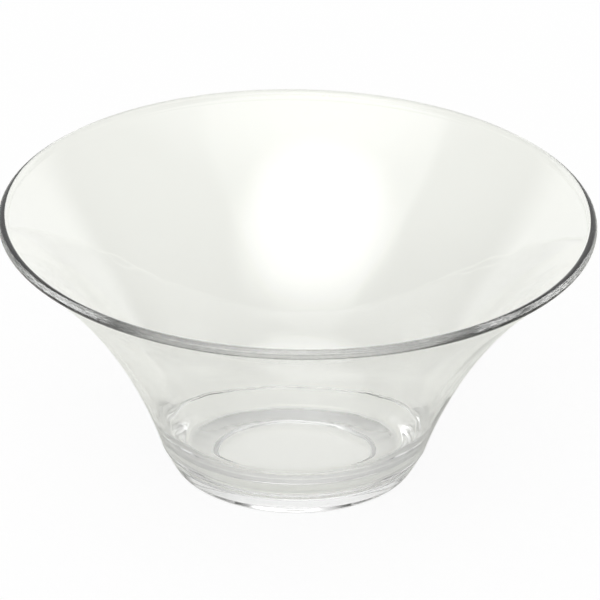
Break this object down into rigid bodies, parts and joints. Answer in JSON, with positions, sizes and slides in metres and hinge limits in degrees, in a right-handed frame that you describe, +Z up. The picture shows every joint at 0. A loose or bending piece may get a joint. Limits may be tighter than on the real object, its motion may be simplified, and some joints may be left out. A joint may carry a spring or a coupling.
{
  "type": "salad bowl",
  "caption": "Clear glass salad bowl with a wide flaring wall, a beaded lip and a solid flat-bottomed foot, for mixing and serving salad at table.",
  "frame": {"origin": "centre of the ring that the bowl rests on, at table level", "axes": "+Z up along the axis of the bowl, out of its mouth; +X and +Y are any two directions square to it, as the bowl is round"},
  "size_m": [0.26, 0.26, 0.12],
  "materials": {
    "glass": "clear, fire-polished, gloss"
  },
  "bodies": {
    "root": {"bowl": "glass"}
  },
  "joints": []
}
